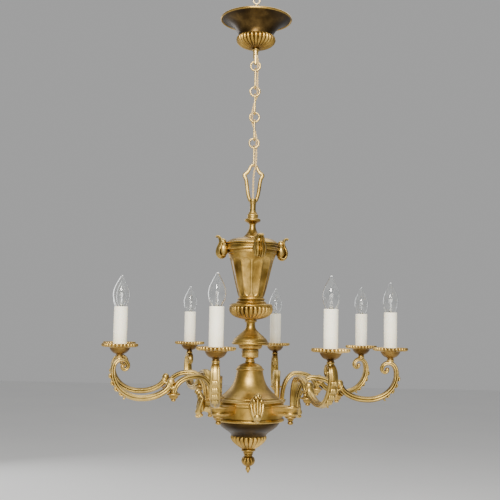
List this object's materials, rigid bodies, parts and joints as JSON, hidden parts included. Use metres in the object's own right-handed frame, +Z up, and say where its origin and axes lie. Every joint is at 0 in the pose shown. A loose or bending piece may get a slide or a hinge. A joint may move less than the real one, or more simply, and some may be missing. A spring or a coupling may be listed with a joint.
{
  "type": "multi arm chandelier",
  "caption": "Gilt bronze chandelier with scroll arms, candle sleeves and glass bulbs, hung on a ring-and-link chain from a ceiling rose.",
  "frame": {"origin": "centre of the hanging eye above the ceiling rose", "axes": "+Z up along the column, -Y towards the front, +X to the right seen from the front"},
  "size_m": [0.6776, 0.6776, 1.08],
  "materials": {
    "aged_gilt": "aged satin gilt",
    "bright_gilt": "worn satin gilt",
    "dark_bronze": "dark patinated bronze",
    "pale_brass": "pale brass",
    "steel": "dull steel",
    "gold_flex": "twisted silk-covered flex",
    "ivory_sleeve": "satin ivory",
    "holder_plastic": "matt",
    "bulb_glass": "clear glass"
  },
  "bodies": {
    "rose": {"hanging_eye": "pale_brass", "ceiling_rose": "dark_bronze", "rose_cap": "aged_gilt", "rose_stem": "bright_gilt", "rose_nut": "steel", "chain_flex": "gold_flex"},
    "ring_1": {"ring_1": "bright_gilt"},
    "link_1": {"link_1": "bright_gilt"},
    "ring_2": {"ring_2": "bright_gilt"},
    "link_2": {"link_2": "bright_gilt"},
    "ring_3": {"ring_3": "bright_gilt"},
    "link_3": {"link_3": "bright_gilt"},
    "ring_4": {"ring_4": "bright_gilt"},
    "link_4": {"link_4": "bright_gilt"},
    "fixture": {"stirrup": "bright_gilt", "stirrup_socket": "bright_gilt", "turned_knob": "aged_gilt", "lid": "aged_gilt", "lid_horns": "bright_gilt", "vase": "aged_gilt", "vase_foot": "aged_gilt", "vase_bowl": "aged_gilt", "upper_bell": "aged_gilt", "spool": "dark_bronze", "shoulder_cap": "aged_gilt", "big_bell": "aged_gilt", "drum": "aged_gilt", "drum_leaves": "bright_gilt", "brackets": "aged_gilt", "under_bowl": "dark_bronze", "gadroon_bowl": "aged_gilt", "finial": "aged_gilt", "centre_rod": "steel", "arm_drops": "bright_gilt", "drip_pans": "aged_gilt", "lampholders": "holder_plastic", "arm_1": "bright_gilt", "arm_2": "bright_gilt", "arm_3": "bright_gilt", "arm_4": "bright_gilt", "arm_5": "bright_gilt", "arm_6": "bright_gilt", "arm_7": "bright_gilt", "arm_8": "bright_gilt", "sleeve_1": "ivory_sleeve", "sleeve_2": "ivory_sleeve", "sleeve_3": "ivory_sleeve", "sleeve_4": "ivory_sleeve", "sleeve_5": "ivory_sleeve", "sleeve_6": "ivory_sleeve", "sleeve_7": "ivory_sleeve", "sleeve_8": "ivory_sleeve"},
    "bulb_1": {"bulb_1": "bulb_glass"},
    "bulb_2": {"bulb_2": "bulb_glass"},
    "bulb_3": {"bulb_3": "bulb_glass"},
    "bulb_4": {"bulb_4": "bulb_glass"},
    "bulb_5": {"bulb_5": "bulb_glass"},
    "bulb_6": {"bulb_6": "bulb_glass"},
    "bulb_7": {"bulb_7": "bulb_glass"},
    "bulb_8": {"bulb_8": "bulb_glass"}
  },
  "joints": [
    {"name": "ring_1_swing", "type": "hinge", "parent": "rose", "child": "ring_1", "pos_m": [0, 0, -0.14325], "axis": [1, 0, 0], "range_deg": [-7, 7], "deforming": ["chain_flex"]},
    {"name": "link_1_swing", "type": "hinge", "parent": "ring_1", "child": "link_1", "pos_m": [0, 0, -0.16045], "axis": [0, 1, 0], "range_deg": [-7, 7]},
    {"name": "ring_2_swing", "type": "hinge", "parent": "link_1", "child": "ring_2", "pos_m": [0, 0, -0.20325], "axis": [1, 0, 0], "range_deg": [-7, 7]},
    {"name": "link_2_swing", "type": "hinge", "parent": "ring_2", "child": "link_2", "pos_m": [0, 0, -0.22045], "axis": [0, 1, 0], "range_deg": [-7, 7]},
    {"name": "ring_3_swing", "type": "hinge", "parent": "link_2", "child": "ring_3", "pos_m": [0, 0, -0.26325], "axis": [1, 0, 0], "range_deg": [-7, 7]},
    {"name": "link_3_swing", "type": "hinge", "parent": "ring_3", "child": "link_3", "pos_m": [0, 0, -0.28045], "axis": [0, 1, 0], "range_deg": [-7, 7]},
    {"name": "ring_4_swing", "type": "hinge", "parent": "link_3", "child": "ring_4", "pos_m": [0, 0, -0.32325], "axis": [1, 0, 0], "range_deg": [-7, 7]},
    {"name": "link_4_swing", "type": "hinge", "parent": "ring_4", "child": "link_4", "pos_m": [0, 0, -0.34045], "axis": [0, 1, 0], "range_deg": [-7, 7]},
    {"name": "stirrup_swing", "type": "hinge", "parent": "link_4", "child": "fixture", "pos_m": [0, 0, -0.38325], "axis": [1, 0, 0], "range_deg": [-7, 7]},
    {"name": "bulb_1_lift", "type": "slide", "parent": "fixture", "child": "bulb_1", "axis": [0, 0, 1], "range_m": [0, 0.03]},
    {"name": "bulb_2_lift", "type": "slide", "parent": "fixture", "child": "bulb_2", "axis": [0, 0, 1], "range_m": [0, 0.03]},
    {"name": "bulb_3_lift", "type": "slide", "parent": "fixture", "child": "bulb_3", "axis": [0, 0, 1], "range_m": [0, 0.03]},
    {"name": "bulb_4_lift", "type": "slide", "parent": "fixture", "child": "bulb_4", "axis": [0, 0, 1], "range_m": [0, 0.03]},
    {"name": "bulb_5_lift", "type": "slide", "parent": "fixture", "child": "bulb_5", "axis": [0, 0, 1], "range_m": [0, 0.03]},
    {"name": "bulb_6_lift", "type": "slide", "parent": "fixture", "child": "bulb_6", "axis": [0, 0, 1], "range_m": [0, 0.03]},
    {"name": "bulb_7_lift", "type": "slide", "parent": "fixture", "child": "bulb_7", "axis": [0, 0, 1], "range_m": [0, 0.03]},
    {"name": "bulb_8_lift", "type": "slide", "parent": "fixture", "child": "bulb_8", "axis": [0, 0, 1], "range_m": [0, 0.03]}
  ]
}
